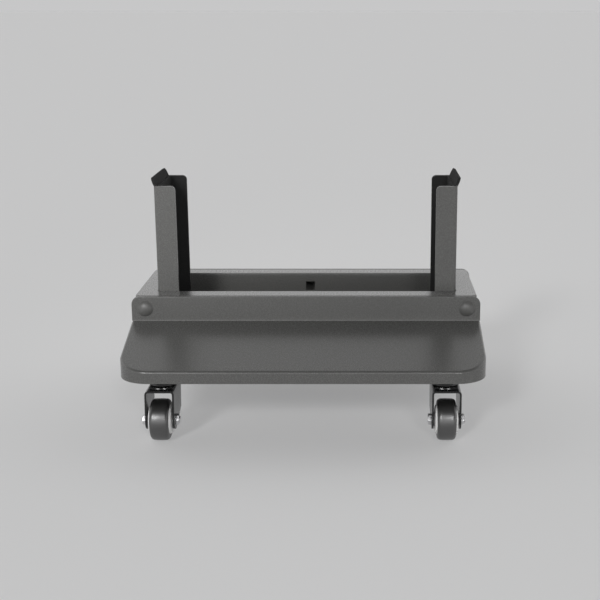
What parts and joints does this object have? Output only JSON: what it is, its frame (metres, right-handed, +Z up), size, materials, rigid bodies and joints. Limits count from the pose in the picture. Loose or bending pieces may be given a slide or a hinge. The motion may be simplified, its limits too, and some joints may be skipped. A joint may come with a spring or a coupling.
{
  "type": "roller stand for an upright light panel",
  "caption": "Low steel floor stand on swivel casters, with a slotted deck and padded channel uprights that hold the foot of an upright light panel.",
  "frame": {"origin": "on the floor, under the middle of the base", "axes": "+Z up, the front with its trailing casters faces -Y, +X to the right seen from the front"},
  "size_m": [0.348, 0.311, 0.2395],
  "materials": {
    "coated_steel": "fine-textured dark grey powder coat",
    "pad_foam": "matt black closed-cell foam",
    "mat_rubber": "matt black sheet",
    "caster_steel": "glossy black coat",
    "zinc_fastener": "bright zinc plate",
    "wheel_tyre": "smooth dark grey, slightly glossy",
    "hub_plastic": "white moulded plastic"
  },
  "bodies": {
    "base": {"base_shell": "coated_steel", "floor_pan": "coated_steel", "deck_frame": "coated_steel", "panel_trough": "coated_steel", "trough_mat": "mat_rubber", "front_bar": "coated_steel", "rear_bar": "coated_steel", "upright_right": "coated_steel", "upright_left": "coated_steel", "liner_right": "pad_foam", "liner_left": "pad_foam", "bar_bolt_front_left": "coated_steel", "bar_bolt_rear_left": "coated_steel", "bar_bolt_front_right": "coated_steel", "bar_bolt_rear_right": "coated_steel", "caster_plate_front_left": "caster_steel", "kingpin_front_left": "caster_steel", "plate_screw_front_left_1": "zinc_fastener", "plate_screw_front_left_2": "zinc_fastener", "plate_screw_front_left_3": "zinc_fastener", "plate_screw_front_left_4": "zinc_fastener", "caster_plate_front_right": "caster_steel", "kingpin_front_right": "caster_steel", "plate_screw_front_right_1": "zinc_fastener", "plate_screw_front_right_2": "zinc_fastener", "plate_screw_front_right_3": "zinc_fastener", "plate_screw_front_right_4": "zinc_fastener", "caster_plate_rear_left": "caster_steel", "kingpin_rear_left": "caster_steel", "plate_screw_rear_left_1": "zinc_fastener", "plate_screw_rear_left_2": "zinc_fastener", "plate_screw_rear_left_3": "zinc_fastener", "plate_screw_rear_left_4": "zinc_fastener", "caster_plate_rear_right": "caster_steel", "kingpin_rear_right": "caster_steel", "plate_screw_rear_right_1": "zinc_fastener", "plate_screw_rear_right_2": "zinc_fastener", "plate_screw_rear_right_3": "zinc_fastener", "plate_screw_rear_right_4": "zinc_fastener"},
    "swivel_front_left": {"fork_front_left": "caster_steel", "axle_bolt_front_left": "zinc_fastener", "axle_nut_front_left": "zinc_fastener"},
    "wheel_front_left": {"tyre_front_left": "wheel_tyre", "hub_front_left": "hub_plastic"},
    "swivel_front_right": {"fork_front_right": "caster_steel", "axle_bolt_front_right": "zinc_fastener", "axle_nut_front_right": "zinc_fastener"},
    "wheel_front_right": {"tyre_front_right": "wheel_tyre", "hub_front_right": "hub_plastic"},
    "swivel_rear_left": {"fork_rear_left": "caster_steel", "axle_bolt_rear_left": "zinc_fastener", "axle_nut_rear_left": "zinc_fastener"},
    "wheel_rear_left": {"tyre_rear_left": "wheel_tyre", "hub_rear_left": "hub_plastic"},
    "swivel_rear_right": {"fork_rear_right": "caster_steel", "axle_bolt_rear_right": "zinc_fastener", "axle_nut_rear_right": "zinc_fastener"},
    "wheel_rear_right": {"tyre_rear_right": "wheel_tyre", "hub_rear_right": "hub_plastic"}
  },
  "joints": [
    {"name": "caster_swivel_front_left", "type": "hinge", "parent": "base", "child": "swivel_front_left", "pos_m": [-0.1365, -0.113, 0.05], "axis": [0, 0, 1], "continuous": true},
    {"name": "wheel_roll_front_left", "type": "hinge", "parent": "swivel_front_left", "child": "wheel_front_left", "pos_m": [-0.1365, -0.133, 0.02], "axis": [1, 0, 0], "continuous": true},
    {"name": "caster_swivel_front_right", "type": "hinge", "parent": "base", "child": "swivel_front_right", "pos_m": [0.1365, -0.113, 0.05], "axis": [0, 0, 1], "continuous": true},
    {"name": "wheel_roll_front_right", "type": "hinge", "parent": "swivel_front_right", "child": "wheel_front_right", "pos_m": [0.1365, -0.133, 0.02], "axis": [1, 0, 0], "continuous": true},
    {"name": "caster_swivel_rear_left", "type": "hinge", "parent": "base", "child": "swivel_rear_left", "pos_m": [-0.1365, 0.113, 0.05], "axis": [0, 0, 1], "continuous": true},
    {"name": "wheel_roll_rear_left", "type": "hinge", "parent": "swivel_rear_left", "child": "wheel_rear_left", "pos_m": [-0.1365, 0.093, 0.02], "axis": [1, 0, 0], "continuous": true},
    {"name": "caster_swivel_rear_right", "type": "hinge", "parent": "base", "child": "swivel_rear_right", "pos_m": [0.1365, 0.113, 0.05], "axis": [0, 0, 1], "continuous": true},
    {"name": "wheel_roll_rear_right", "type": "hinge", "parent": "swivel_rear_right", "child": "wheel_rear_right", "pos_m": [0.1365, 0.093, 0.02], "axis": [1, 0, 0], "continuous": true}
  ]
}
